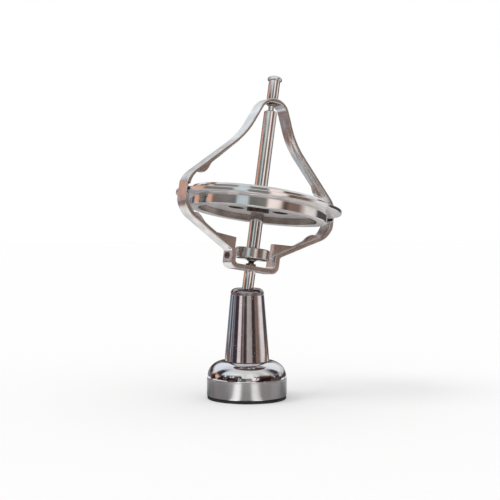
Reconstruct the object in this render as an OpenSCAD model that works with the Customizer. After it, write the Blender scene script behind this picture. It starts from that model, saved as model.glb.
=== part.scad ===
// Precision gyroscope standing in the seat of a small turned stand.
// Millimetres. The origin is the centre of the foot, +Z is up, and the plane of the
// gyroscope's frame stands along X. Pieces of the gyroscope are drawn along its own
// axis, with heights taken from the centre of its ball end, and then leaned over.

/* [Stand] */
// Radius of the base
base_r = 16; // [14:0.5:22]
// Height of the top of the base's straight wall
base_wall_h = 8.3; // [7.5:0.1:12]
// Radius of the rounded shoulder on top of the base
base_dome_r = 6.7; // [5:0.1:6.8]
// Thickness of the rubber foot pad
pad_t = 1.1; // [0.8:0.1:2]
// How far the pad stays inside the edge of the base
pad_inset = 0.2; // [0.1:0.1:1]
// Bevel at the foot of the base
base_bevel = 0.4; // [0.2:0.1:0.8]
// Height of the column from the top of the base to the edge of its rim
column_h = 26.9; // [20:0.1:40]
// Radius of the column at its foot
column_foot_r = 9; // [8:0.1:9.2]
// Radius of the column at the edge of its rim
column_top_r = 6.7; // [6.2:0.1:7.6]
// Height of the rounded rim above that edge
rim_h = 2.2; // [1.8:0.1:2.6]
// Depth of the fine groove below the rim
groove_d = 0.25; // [0.1:0.05:0.4]
// Radius of the column's spigot in the base
spigot_r = 6; // [5:0.1:7]
// Length of the spigot
spigot_l = 5; // [4:0.1:6]

/* [Column screw] */
// Radius of the screw's thread
screw_r = 2; // [1.5:0.1:2.5]
// Length of the screw below its head
screw_l = 14; // [12:0.5:18]
// Radius of the screw's head
screw_head_r = 3.4; // [3:0.1:3.8]
// Height of the screw's head
screw_head_h = 2.4; // [2:0.1:2.6]
// Width across the flats of the socket
socket_af = 3; // [2:0.1:3.5]
// Depth of the socket
socket_d = 1.4; // [1:0.1:1.6]
// Thickness of the washer under the head
washer_t = 0.6; // [0.4:0.1:0.8]
// How far the washer reaches past the screw's head
washer_rim = 0.4; // [0.2:0.1:0.6]
// Gap round the washer in its counterbore
washer_gap = 0.2; // [0.1:0.05:0.3]
// Depth of the counterbore for the head and the washer
counterbore_h = 4.2; // [3.8:0.1:5]

/* [Seat] */
// Radius of the seat's flange
seat_flange_r = 4.7; // [4.3:0.1:5]
// Thickness of the seat's flange
seat_flange_t = 1.1; // [0.9:0.1:1.3]
// Radius of the seat's body
seat_body_r = 3.5; // [3.2:0.1:3.8]
// Length of the seat's body below the flange
seat_body_l = 4.4; // [4:0.1:6]
// Gap under the seat's body
seat_floor_gap = 0.3; // [0.1:0.1:0.6]
// How far the flange stays below the top of the rim
seat_sink = 0.1; // [0:0.05:0.4]
// Radius of the dished mouth at the top
dish_r = 4.2; // [3.8:0.1:4.2]
// Depth of the dished mouth
dish_h = 0.6; // [0.4:0.1:0.8]
// Depth of the ball's centre below the top of the rim
ball_depth = 1.6; // [1.5:0.1:1.8]

/* [Pose] */
// Lean of the gyroscope against the seat
lean = 9.7; // [6:0.1:14]
// Heading of the lean, from +X towards +Y
lean_heading = 13.5; // [0:0.5:90]

/* [Fits] */
// Radial clearance of a running fit
run_fit = 0.06; // [0.03:0.01:0.09]
// End clearance between a pivot and its thrust ball
end_play = 0.03; // [0.02:0.01:0.08]

/* [Frame] */
// Width of the frame's strip
strip_w = 7.2; // [6.2:0.1:9]
// Height of the top of the arch
arch_s = 79; // [78:0.1:84]
// Half width of the arch where its sides would meet its top
arch_a = 4.64; // [4.6:0.02:5]
// Half width at the necks, where the arch turns into the limbs
neck_a = 11.9; // [11:0.1:13]
// Height of the necks
neck_s = 62.7; // [60:0.1:64]
// How far the frame reaches past the flange at its widest, before its flats are cut
frame_past = 1.3; // [1.2:0.05:1.8]
// Height where the upper limbs reach that width
upper_s = 40.6; // [40.4:0.1:43]
// Height where the lower limbs reach that width
lower_s = 28.1; // [26.5:0.1:28.2]
// Depth of the flats cut in the outer faces at the widest place
flat_d = 0.3; // [0.1:0.05:0.4]
// Half width of the cradle
cradle_a = 11.2; // [10.6:0.1:12]
// Height where the lower limbs meet the cradle
cradle_top_s = 15.4; // [14.8:0.1:16.5]
// Height of the underside of the cradle's bar
bar_s = 8.4; // [7.6:0.1:9]
// Thickness of the arch
arch_t = 1.8; // [1.4:0.1:2.4]
// Thickness of the upper limbs
limb_t = 1.2; // [1:0.1:1.6]
// Thickness of the frame at its widest place
equator_t = 2; // [1.8:0.1:2.4]
// Thickness of the lower limbs
lower_limb_t = 1.5; // [1.2:0.1:2]
// Thickness of the cradle's uprights
upright_t = 2.25; // [1.8:0.05:2.6]
// Thickness of the cradle's bar
bar_t = 2.1; // [1.8:0.1:2.6]

/* [Ribs] */
// Width of the ribs and gussets
rib_w = 2.8; // [2:0.1:4]
// Height of an upper rib at its shoulder
upper_rib_h = 2.3; // [1.6:0.1:2.6]
// Height of a lower rib at its shoulder
lower_rib_h = 1.9; // [1.2:0.1:2.2]
// Height of the ribs where their shoulders have run out
rib_low_h = 0.9; // [0.7:0.1:1.1]
// Height of the ribs at their thin ends
rib_end_h = 0.6; // [0.4:0.1:0.6]
// Length of an upper rib
upper_rib_l = 22; // [16:0.5:24]
// Length of a lower rib
lower_rib_l = 12; // [10:0.5:13]
// Distance from the widest place to the foot of an upper rib
upper_foot_l = 3.4; // [3:0.1:4]
// Distance from the widest place to the foot of a lower rib
lower_foot_l = 1.9; // [1.5:0.1:2.5]
// Distance from a rib's shoulder to its foot at the widest place
shoulder_l = 4; // [3:0.1:5]
// Distance from a rib's shoulder to where it has run out
rib_fall_l = 4.6; // [3:0.1:5]
// Height of the gussets' flat tops
gusset_s = 20.8; // [19.5:0.1:21.5]
// Half width where the gussets' tops run out on the limbs
gusset_a = 19.4; // [17:0.1:21]

/* [Studs] */
// Radius of a stud's head
stud_head_r = 1.3; // [1:0.1:1.6]
// Height of a stud's head
stud_head_h = 0.7; // [0.4:0.1:1]
// Radius of a stud's shank
stud_r = 0.9; // [0.8:0.05:0.95]
// Radius of the hole through a stud
stud_hole_r = 0.55; // [0.3:0.05:0.65]
// Height of the studs' centres
stud_s = 13.2; // [12.6:0.1:13.4]

/* [Posts and bushes] */
// Radius of both posts and of the ball end
post_r = 2.3; // [2.1:0.05:2.4]
// Height of the top of the top post
post_top_s = 86.8; // [85:0.1:92]
// Radius of the cap
cap_r = 2.95; // [2.7:0.05:3.6]
// Height of the cap
cap_h = 2.1; // [1.8:0.1:2.8]
// Height of the cap's straight edge
cap_edge_h = 0.7; // [0.4:0.1:1]
// Radius of the cap's spigot
cap_spigot_r = 1.2; // [0.8:0.1:1.5]
// Length of the cap's spigot
cap_spigot_l = 2.2; // [1.5:0.1:2.6]
// Gap below the cap's spigot
spigot_gap = 0.2; // [0.1:0.1:0.4]
// Depth of the spot face under the top post
spot_d = 0.4; // [0.35:0.05:0.6]
// Radius of the upper bush's flange
upper_flange_r = 1.75; // [1.7:0.05:2]
// Radius of the lower bush's flange
lower_flange_r = 2.05; // [1.9:0.05:2.4]
// Thickness of the bushes' flanges
bush_flange_t = 0.9; // [0.6:0.1:1.1]
// Radius of the bushes' bodies
bush_r = 1.6; // [1.55:0.05:1.7]
// How far the bushes reach into the posts
bush_in_post = 2.6; // [2.4:0.1:3]
// Radius of the thrust balls
thrust_r = 1.15; // [1.1:0.05:1.2]

/* [Rotor] */
// Radius of the shaft
shaft_r = 2.65; // [2.4:0.05:3]
// Radius of the shaft's pivots
pivot_r = 1.2; // [1.15:0.05:1.25]
// Height of the shaft's upper shoulder
shaft_top_s = 74; // [70:0.1:75]
// Height of the middle of the outer flange
flange_s = 36.1; // [35.6:0.1:36.6]
// Radius of the outer flange
flange_r = 33.6; // [33.2:0.1:33.7]
// Thickness of the outer flange
flange_t = 1.45; // [1.2:0.05:1.8]
// Radius of the drum
drum_r = 28.2; // [27:0.1:29]
// Thickness of the drum's wall
drum_wall = 4.3; // [3:0.1:6]
// Depth of the drum below the middle of the flange
drum_below = 4.95; // [4:0.05:5.5]
// Height of the drum above the middle of the flange
drum_above = 3.2; // [2.4:0.1:4]
// Bevel round the drum's top
drum_bevel = 0.8; // [0.3:0.1:1.2]
// Small bevel on the other edges of the rotor
edge_bevel = 0.3; // [0.1:0.05:0.35]
// Radial gap round the flange in the frame's grooves
flange_gap = 0.45; // [0.4:0.05:0.5]
// Gap above and below the flange in the frame's grooves
groove_gap = 0.95; // [0.6:0.05:1.2]
// Depth of the web's face inside the drum's lower edge
web_depth = 2.75; // [2:0.05:3.5]
// Thickness of the web
web_t = 2.4; // [1.6:0.1:3]
// Number of holes in the web
hole_n = 6; // [3:1:8]
// Radius of the holes in the web
hole_r = 3.3; // [2.2:0.1:3.6]
// Radius of the circle that the holes stand on
hole_circle_r = 10.4; // [9.6:0.1:15]
// Radius of the hub
hub_r = 4.5; // [4:0.1:5.5]
// How far the hub stands out below the web
hub_below = 1.9; // [1:0.1:2.4]
// How far the hub stands out above the web
hub_above = 1.9; // [1:0.1:2.4]
// Radius of the starter wheel
wheel_r = 6.9; // [6:0.1:7.4]
// Height of the starter wheel's underside
wheel_s = 13.3; // [13:0.1:13.8]
// Thickness of the starter wheel
wheel_t = 4.2; // [3.4:0.1:5]
// Radius of the lower collar at its top
collar_r = 2.4; // [2.1:0.1:3]
// Radius of the lower collar at its bottom
collar_low_r = 1.5; // [1.4:0.05:1.9]
// Height of the lower collar
collar_h = 0.95; // [0.7:0.05:1.1]

/* [Hidden] */
$fn = 96;
eps = 0.01;

// Stand heights
base_top_z = base_wall_h + base_dome_r;
rim_edge_z = base_top_z + column_h;
rim_top_z = rim_edge_z + rim_h;
spigot_z = base_top_z - spigot_l;
counterbore_z = pad_t + counterbore_h;
counterbore_r = screw_head_r + washer_rim + washer_gap;
head_top_z = counterbore_z - washer_t;
seat_top_z = rim_top_z - seat_sink;
seat_shelf_z = seat_top_z - seat_flange_t;
seat_bottom_z = seat_shelf_z - seat_body_l;
ball_z = rim_top_z - ball_depth;
dish_z = seat_top_z - dish_h;
cup_r = post_r + run_fit;
mouth_low_r = cup_r / cos(lean);
mouth_top_r = mouth_low_r + (dish_z - ball_z) * tan(lean);

// Heights along the gyroscope's axis
bar_top_s = bar_s + bar_t;
arch_low_s = arch_s - arch_t;
bush_bore_r = pivot_r + run_fit;
low_socket_s = bar_s - bush_in_post;
post_foot_s = arch_s - spot_d;
top_socket_s = post_foot_s + bush_in_post;
low_ball_s = low_socket_s + thrust_r;
top_ball_s = top_socket_s - thrust_r;
pivot_low_s = low_ball_s + thrust_r + end_play;
pivot_top_s = top_ball_s - thrust_r - end_play;
drum_low_s = flange_s - drum_below;
drum_top_s = flange_s + drum_above;
web_low_s = drum_low_s + web_depth;
groove_r = flange_r + flange_gap;
groove_h = flange_t + 2 * groove_gap;
widest_a = flange_r + frame_past;

// ---- Outline functions ----

function unit(v) = v / norm(v);

// Unit normal to the right of the way from p to q
function right_of(p, q) = let (d = unit(q - p)) [d.y, -d.x];

// Place where the line through p along d meets the line through q along e
function meet(p, d, q, e) =
    p + d * ((q.x - p.x) * e.y - (q.y - p.y) * e.x) / (d.x * e.y - d.y * e.x);

// Points of the arc of radius r that rounds the corner p1 between p0 and p2
function corner_arc(p0, p1, p2, r, steps) =
    r <= 0 ? [p1] :
    let (
        u = unit(p0 - p1),
        v = unit(p2 - p1),
        half = acos(u * v) / 2,
        centre = p1 + unit(u + v) * r / sin(half),
        from = p1 + u * r / tan(half) - centre,
        to = p1 + v * r / tan(half) - centre,
        start = atan2(from.y, from.x),
        raw = atan2(to.y, to.x) - start,
        sweep = raw > 180 ? raw - 360 : raw < -180 ? raw + 360 : raw
    )
    [for (i = [0:steps]) centre + r * [cos(start + sweep * i / steps), sin(start + sweep * i / steps)]];

// Closed outline with each corner of p rounded to the radius at the same place in r
function rounded(p, r, steps = 10) =
    let (n = len(p))
    [for (i = [0:n - 1]) each corner_arc(p[(i + n - 1) % n], p[i], p[(i + 1) % n], r[i], steps)];

// Corners of one half, followed by their mirror images in reverse order
function both_sides(p) = concat(p, [for (i = [len(p) - 1:-1:0]) [-p[i].x, p[i].y]]);
function both_radii(r) = concat(r, [for (i = [len(r) - 1:-1:0]) r[i]]);

// ---- Frame outline: corners of the right half, from the arch down to the bar ----

outer_half = [
    [arch_a, arch_s], [neck_a, neck_s], [widest_a, upper_s],
    [widest_a, lower_s], [cradle_a, cradle_top_s], [cradle_a, bar_s]
];
// Thickness of the piece of strip that ends at each corner, and last that of the bar
strip_t = [arch_t, limb_t, limb_t, equator_t, lower_limb_t, upright_t, bar_t];
// The same corners with one more past each end, to give the first and last strip their lines
long_half = concat([[-arch_a, arch_s]], outer_half, [[-cradle_a, bar_s]]);
inner_half = [
    for (i = [1:6])
        let (
            before = right_of(long_half[i - 1], long_half[i]) * strip_t[i - 1],
            after = right_of(long_half[i], long_half[i + 1]) * strip_t[i]
        )
        meet(long_half[i] + before, long_half[i] - long_half[i - 1],
             long_half[i] + after, long_half[i + 1] - long_half[i])
];
// Radii that round those corners
outer_radii = [7, 33, 10.2, 13, 1.6, 3];
inner_radii = [5, 34, 8.6, 11.4, 0.8, 1.4];
// Radii of a rib's outline, from its foot over its shoulder to its thin end
rib_radii = [0, 0, 1.2, 3, 0.4, 0];
// How far a rib is sunk in the strip that carries it
rib_sink = 0.3;

// ---- Stand ----

module cylinder_between(z0, z1, r)
    translate([0, 0, z0]) cylinder(h = z1 - z0, r = r);

module foot_pad() color("#1c1c1c")
    cylinder(h = pad_t, r = base_r - pad_inset);

module base_body() color("silver")
    difference() {
        rotate_extrude()
            polygon(concat(
                [[0, pad_t], [base_r - base_bevel, pad_t], [base_r, pad_t + base_bevel]],
                [for (a = [0:6:90]) [base_r - base_dome_r + base_dome_r * cos(a),
                                     base_wall_h + base_dome_r * sin(a)]],
                [[0, base_top_z]]));
        translate([0, 0, spigot_z]) cylinder(h = spigot_l + 1, r = spigot_r);
        cylinder(h = counterbore_z, r = counterbore_r);
        cylinder(h = base_top_z, r = screw_r);
    }

module column() color("gainsboro")
    difference() {
        union() {
            translate([0, 0, spigot_z]) cylinder(h = spigot_l + eps, r = spigot_r);
            rotate_extrude()
                polygon(concat(
                    [[0, base_top_z], [column_foot_r, base_top_z],
                     [column_top_r, rim_edge_z - groove_d], [column_top_r - groove_d, rim_edge_z]],
                    [for (a = [0:9:90]) [column_top_r - rim_h * (1 - cos(a)),
                                         rim_edge_z + rim_h * sin(a)]],
                    [[0, rim_top_z]]));
        }
        translate([0, 0, seat_shelf_z]) cylinder(h = rim_h + 1, r = seat_flange_r + run_fit);
        cylinder_between(seat_bottom_z - seat_floor_gap, rim_top_z, seat_body_r + run_fit);
        cylinder(h = head_top_z + screw_l + 1, r = screw_r);
    }

module column_screw() color("#3a3a3c")
    difference() {
        union() {
            translate([0, 0, head_top_z - screw_head_h]) cylinder(h = screw_head_h, r = screw_head_r);
            cylinder_between(head_top_z - eps, head_top_z + screw_l, screw_r);
        }
        translate([0, 0, head_top_z - screw_head_h - 1])
            cylinder(h = socket_d + 1, r = socket_af / sqrt(3), $fn = 6);
    }

module screw_washer() color("gray")
    difference() {
        cylinder_between(head_top_z, counterbore_z, screw_head_r + washer_rim);
        cylinder(h = base_top_z, r = screw_r);
    }

module seat_insert() color("dimgray")
    difference() {
        union() {
            cylinder_between(seat_shelf_z, seat_top_z, seat_flange_r);
            cylinder_between(seat_bottom_z, seat_shelf_z + eps, seat_body_r);
        }
        translate([0, 0, ball_z]) sphere(r = cup_r);
        translate([0, 0, ball_z]) cylinder(h = dish_z - ball_z + eps, r1 = mouth_low_r, r2 = mouth_top_r);
        translate([0, 0, dish_z]) cylinder(h = dish_h + eps, r1 = mouth_top_r, r2 = dish_r);
    }

// ---- Gyroscope, drawn along its own axis ----

module leaned()
    translate([0, 0, ball_z])
        rotate(a = lean, v = [-sin(lean_heading), cos(lean_heading), 0])
            children();

// A slab of the given width, with its outline in the plane of the frame
module slab(points, w)
    rotate([90, 0, 0]) linear_extrude(height = w, center = true) polygon(points);

module flange_groove()
    translate([0, 0, flange_s - groove_h / 2]) cylinder(h = groove_h, r = groove_r, $fn = 180);

// Rib on the inner face, from its foot near the corner p towards the corner q, n being inward
module rib(p, q, n, foot_l, length, h) {
    d = unit(q - p);
    foot = p + d * foot_l;
    shoulder = foot + d * shoulder_l;
    sink = -rib_sink * n;
    slab(rounded([
            foot + sink, foot, shoulder + n * h,
            shoulder + d * rib_fall_l + n * rib_low_h,
            foot + d * length + n * rib_end_h, foot + d * (length + 1) + sink
        ], rib_radii, 6), rib_w);
}

module gusset() {
    corner = inner_half[4];
    limb = inner_half[3] - corner;
    on_limb = corner + limb * (gusset_a - corner.x) / limb.x;
    slab([[corner.x, gusset_s], on_limb, corner - [0, 1]], rib_w);
}

module gyro_frame() color("#9a8f88")
    leaned()
        difference() {
            union() {
                difference() {
                    slab(rounded(both_sides(outer_half), both_radii(outer_radii)), strip_w);
                    slab(rounded(both_sides(inner_half), both_radii(inner_radii)), strip_w + 1);
                }
                for (side = [0, 1]) mirror([side, 0, 0]) {
                    rib(inner_half[2], inner_half[1], right_of(inner_half[1], inner_half[2]),
                        upper_foot_l, upper_rib_l, upper_rib_h);
                    rib(inner_half[3], inner_half[4], right_of(inner_half[3], inner_half[4]),
                        lower_foot_l, lower_rib_l, lower_rib_h);
                    gusset();
                }
            }
            for (side = [-1, 1])
                translate([side * (1.5 * widest_a - flat_d), 0, flange_s])
                    cube([widest_a, strip_w + 1, widest_a], center = true);
            flange_groove();
            cylinder_between(0, arch_s + 1, bush_r);
            cylinder_between(post_foot_s, arch_s + 1, post_r);
            cylinder_between(arch_low_s - 2 * bush_flange_t, arch_low_s, upper_flange_r);
            translate([0, 0, stud_s]) rotate([0, 90, 0])
                cylinder(h = 4 * cradle_a, r = stud_r, center = true);
        }

module bottom_post() color("gainsboro")
    leaned()
        difference() {
            rotate_extrude()
                polygon(concat(
                    [for (a = [-90:7.5:0]) [post_r * cos(a), post_r * sin(a)]],
                    [[post_r, bar_s], [0, bar_s]]));
            cylinder_between(low_socket_s, bar_s + 1, bush_r);
        }

module top_post() color("gainsboro")
    leaned()
        difference() {
            cylinder_between(post_foot_s, post_top_s, post_r);
            cylinder_between(post_foot_s - 1, top_socket_s, bush_r);
            cylinder_between(post_top_s - cap_spigot_l - spigot_gap, post_top_s + 1, cap_spigot_r);
        }

module top_cap() color("gainsboro")
    leaned() {
        dome_h = cap_h - cap_edge_h;
        rotate_extrude()
            polygon(concat(
                [[0, post_top_s - cap_spigot_l], [cap_spigot_r, post_top_s - cap_spigot_l],
                 [cap_spigot_r, post_top_s], [cap_r, post_top_s]],
                [for (a = [0:9:90]) [cap_r * cos(a), post_top_s + cap_edge_h + dome_h * sin(a)]]));
    }

module bush(flange_z, flange_z1, body_z, body_z1, flange_radius) color("#4a4540")
    difference() {
        union() {
            cylinder_between(flange_z, flange_z1, flange_radius);
            cylinder_between(body_z, body_z1, bush_r);
        }
        cylinder_between(body_z - 2, body_z1 + 2, bush_bore_r);
    }

module upper_bush()
    leaned() bush(arch_low_s - bush_flange_t, arch_low_s, arch_low_s - eps, top_socket_s, upper_flange_r);

module lower_bush()
    leaned() bush(bar_top_s, bar_top_s + bush_flange_t, low_socket_s, bar_top_s + eps, lower_flange_r);

module upper_thrust_ball() color("silver")
    leaned() translate([0, 0, top_ball_s]) sphere(r = thrust_r);

module lower_thrust_ball() color("silver")
    leaned() translate([0, 0, low_ball_s]) sphere(r = thrust_r);

module side_studs() color("#5a524c")
    leaned()
        for (side = [0, 1]) mirror([side, 0, 0])
            translate([0, 0, stud_s]) rotate([0, 90, 0])
                difference() {
                    union() {
                        cylinder_between(cradle_a - upright_t, cradle_a + eps, stud_r);
                        cylinder_between(cradle_a, cradle_a + stud_head_h, stud_head_r);
                    }
                    cylinder_between(0, 2 * cradle_a, stud_hole_r);
                }

// ---- Rotor ----

module rotor_rim() color("#b8b4ae")
    leaned() {
        drum_in_r = drum_r - drum_wall;
        flange_low = flange_s - flange_t / 2;
        flange_high = flange_s + flange_t / 2;
        rotate_extrude($fn = 180)
            polygon([
                [drum_in_r, drum_low_s + edge_bevel], [drum_in_r + edge_bevel, drum_low_s],
                [drum_r - edge_bevel, drum_low_s], [drum_r, drum_low_s + edge_bevel],
                [drum_r, flange_low], [flange_r - edge_bevel, flange_low],
                [flange_r, flange_low + edge_bevel], [flange_r, flange_high - edge_bevel],
                [flange_r - edge_bevel, flange_high], [drum_r, flange_high],
                [drum_r, drum_top_s - drum_bevel], [drum_r - drum_bevel, drum_top_s],
                [drum_in_r + edge_bevel, drum_top_s], [drum_in_r, drum_top_s - edge_bevel]
            ]);
    }

module rotor_web() color("#a8a49e")
    leaned()
        difference() {
            translate([0, 0, web_low_s]) cylinder(h = web_t, r = drum_r - drum_wall, $fn = 180);
            cylinder_between(web_low_s - 1, web_low_s + web_t + 1, hub_r);
            for (i = [0:hole_n - 1])
                rotate(360 * i / hole_n) translate([hole_circle_r, 0, web_low_s - 1])
                    cylinder(h = web_t + 2, r = hole_r);
        }

module rotor_hub() color("#c0bcb6")
    leaned()
        difference() {
            cylinder_between(web_low_s - hub_below, web_low_s + web_t + hub_above, hub_r);
            cylinder_between(0, arch_s, shaft_r);
        }

module shaft() color("gainsboro")
    leaned()
        rotate_extrude()
            polygon([
                [0, pivot_low_s], [pivot_r, pivot_low_s], [pivot_r, wheel_s], [shaft_r, wheel_s],
                [shaft_r, shaft_top_s - edge_bevel], [shaft_r - edge_bevel, shaft_top_s],
                [pivot_r, shaft_top_s], [pivot_r, pivot_top_s], [0, pivot_top_s]
            ]);

module starter_wheel() color("#8c8480")
    leaned()
        difference() {
            rotate_extrude()
                polygon([
                    [0, wheel_s], [wheel_r - edge_bevel, wheel_s], [wheel_r, wheel_s + edge_bevel],
                    [wheel_r, wheel_s + wheel_t - edge_bevel], [wheel_r - edge_bevel, wheel_s + wheel_t],
                    [0, wheel_s + wheel_t]
                ]);
            cylinder_between(0, arch_s, shaft_r);
        }

module lower_collar() color("#3c3836")
    leaned()
        difference() {
            translate([0, 0, wheel_s - collar_h]) cylinder(h = collar_h, r1 = collar_low_r, r2 = collar_r);
            cylinder_between(0, arch_s, pivot_r);
        }

foot_pad();
base_body();
column();
column_screw();
screw_washer();
seat_insert();
gyro_frame();
bottom_post();
top_post();
top_cap();
upper_bush();
lower_bush();
upper_thrust_ball();
lower_thrust_ball();
side_studs();
rotor_rim();
rotor_web();
rotor_hub();
shaft();
starter_wheel();
lower_collar();
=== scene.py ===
"""Looks of a gyroscope that leans in the seat of its small turned stand.

Shapes are written in millimetres. Those of the gyroscope are drawn along its own
axis, with heights from the centre of its ball end, and then leaned into place. The
outline of a turned piece is a list of (radius, height) or (radius, height, rounding).
The floor and the camera are in metres.
"""
import math

import bmesh
import bpy
from mathutils import Matrix, Vector


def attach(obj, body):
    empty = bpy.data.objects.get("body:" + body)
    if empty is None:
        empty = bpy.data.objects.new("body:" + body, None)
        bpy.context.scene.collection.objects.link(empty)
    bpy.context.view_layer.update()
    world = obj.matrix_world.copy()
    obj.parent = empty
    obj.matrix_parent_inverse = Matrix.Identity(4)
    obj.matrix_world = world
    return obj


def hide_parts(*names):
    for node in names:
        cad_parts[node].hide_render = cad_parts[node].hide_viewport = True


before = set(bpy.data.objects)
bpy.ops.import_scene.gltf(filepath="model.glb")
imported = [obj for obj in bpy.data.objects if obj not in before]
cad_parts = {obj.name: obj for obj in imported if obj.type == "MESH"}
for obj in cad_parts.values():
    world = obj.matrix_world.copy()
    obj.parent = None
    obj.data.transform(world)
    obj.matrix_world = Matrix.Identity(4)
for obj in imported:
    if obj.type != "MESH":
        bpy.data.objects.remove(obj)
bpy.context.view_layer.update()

MM = 0.001
TINY = 1e-6
BALL_Z = 42.5
LEAN = math.radians(9.7)
HEADING = math.radians(13.5)
LEAN_TURN = Matrix.Rotation(LEAN, 4, Vector((-math.sin(HEADING), math.cos(HEADING), 0)))
LEANED = Matrix.Translation((0, 0, BALL_Z)) @ LEAN_TURN
UPRIGHT = Matrix.Identity(4)
PLACES = {"stand": UPRIGHT, "seat": UPRIGHT, "gyro": LEANED, "rotor": LEANED}
CAMERA_HEADING = math.radians(-29.06)


# ---- Outlines ----

def corner_points(before, corner, after, radius, steps):
    """Points of the arc that rounds a corner of an outline."""
    u = (before - corner).normalized()
    v = (after - corner).normalized()
    half = math.acos(max(-1, min(1, u.dot(v)))) / 2
    longest = 0.49 * min((before - corner).length, (after - corner).length)
    reach = min(radius / math.tan(half), longest)
    radius = reach * math.tan(half)
    centre = corner + (u + v).normalized() * radius / math.sin(half)
    first, last = corner + u * reach - centre, corner + v * reach - centre
    start = math.atan2(first.y, first.x)
    sweep = math.atan2(last.y, last.x) - start
    sweep = (sweep + math.pi) % (2 * math.pi) - math.pi
    turns = [start + sweep * i / steps for i in range(steps + 1)]
    return [centre + radius * Vector((math.cos(turn), math.sin(turn))) for turn in turns]


def rounded(corners, steps, closed=True):
    """Outline through (x, y) or (x, y, radius) corners, each rounded to its radius."""
    places = [Vector(corner[:2]) for corner in corners]
    count = len(places)
    outline = []
    for i, corner in enumerate(corners):
        radius = corner[2] if len(corner) > 2 else 0
        end = not closed and i in (0, count - 1)
        if radius <= 0 or end:
            outline.append(places[i])
        else:
            neighbours = places[i - 1], places[i], places[(i + 1) % count]
            outline += corner_points(*neighbours, radius, steps)
    return outline


def arc(centre, across, up, degrees):
    """Points of an ellipse's arc, at degrees counted from the horizontal."""
    return [(centre[0] + across * math.cos(turn), centre[1] + up * math.sin(turn))
            for turn in map(math.radians, degrees)]


# ---- Meshes and pieces ----

OUTLINE_STEPS = 5
WRAP_PER_MM = 0.02


def mesh_of(built, name, closed=True):
    """A mesh from what was built, with its faces turned outwards where they close."""
    if closed:
        bmesh.ops.recalc_face_normals(built, faces=built.faces)
    mesh = bpy.data.meshes.new(name)
    built.to_mesh(mesh)
    built.free()
    return mesh


def loose(mesh):
    """An object at the origin, named like its mesh."""
    piece = bpy.data.objects.new(mesh.name, mesh)
    bpy.context.scene.collection.objects.link(piece)
    return piece


def turned_mesh(name, corners, facets):
    """A closed outline turned about the axis, mapped by turn and by way along the outline."""
    outline = rounded(corners, OUTLINE_STEPS)
    turns = [2 * math.pi * k / facets for k in range(facets)]
    built = bmesh.new()
    wrap = built.loops.layers.uv.new("turned")
    rings = []
    for x, y in outline:
        places = [(x * math.cos(turn), x * math.sin(turn), y) for turn in turns]
        if abs(x) < TINY:
            places = [(0, 0, y)]
        rings.append([built.verts.new(place) for place in places])
    along = 0
    for i, ring in enumerate(rings):
        j = (i + 1) % len(rings)
        after = rings[j]
        if len(ring) == len(after) == 1:
            continue
        low = along * WRAP_PER_MM
        along += (outline[j] - outline[i]).length
        high = along * WRAP_PER_MM
        for k in range(facets):
            m = (k + 1) % facets
            here, middle, there = k / facets, (k + 0.5) / facets, (k + 1) / facets
            if len(ring) == 1:
                spots = (ring[0], middle, low), (after[m], there, high), (after[k], here, high)
            elif len(after) == 1:
                spots = (ring[k], here, low), (ring[m], there, low), (after[0], middle, high)
            else:
                spots = ((ring[k], here, low), (ring[m], there, low),
                         (after[m], there, high), (after[k], here, high))
            face = built.faces.new([spot[0] for spot in spots])
            for loop, spot in zip(face.loops, spots):
                loop[wrap].uv = spot[1:]
    return mesh_of(built, name)


def plate_mesh(name, outline, width):
    """An outline in the plane of the frame, given a width across it."""
    built = bmesh.new()
    front, back = [[built.verts.new((x, y, z)) for x, z in outline]
                   for y in (-width / 2, width / 2)]
    built.faces.new(front)
    built.faces.new(back[::-1])
    for i in range(len(outline)):
        j = (i + 1) % len(outline)
        built.faces.new((front[j], front[i], back[i], back[j]))
    return mesh_of(built, name)


def made_plain(piece):
    """Turns what the modifiers make into the piece's own mesh."""
    evaluated = piece.evaluated_get(bpy.context.evaluated_depsgraph_get())
    mesh = bpy.data.meshes.new_from_object(evaluated)
    piece.modifiers.clear()
    old = piece.data
    piece.data = mesh
    bpy.data.meshes.remove(old)
    mesh.name = piece.name


def boolean(piece, others, operation):
    """Joins other solids to a piece or cuts them from it, and removes them."""
    for other in others:
        step = piece.modifiers.new(operation, "BOOLEAN")
        step.operation = operation
        step.solver = "EXACT"
        step.object = other
    made_plain(piece)
    for other in others:
        mesh = other.data
        bpy.data.objects.remove(other)
        bpy.data.meshes.remove(mesh)


def bevelled(piece, width, angle=28, segments=3, flats_joined=False):
    """Breaks the sharp edges of a piece, after joining the facets of its flats where asked."""
    built = bmesh.new()
    built.from_mesh(piece.data)
    bmesh.ops.remove_doubles(built, verts=built.verts, dist=0.004)
    bmesh.ops.dissolve_degenerate(built, edges=built.edges, dist=0.002)
    if flats_joined:
        bmesh.ops.dissolve_limit(built, angle_limit=math.radians(0.5), verts=built.verts,
                                 edges=built.edges, delimit={"NORMAL"})
    built.to_mesh(piece.data)
    built.free()
    edge = piece.modifiers.new("Edges", "BEVEL")
    edge.width = width
    edge.segments = segments
    edge.limit_method = "ANGLE"
    edge.angle_limit = math.radians(angle)
    edge.use_clamp_overlap = False
    made_plain(piece)


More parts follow.
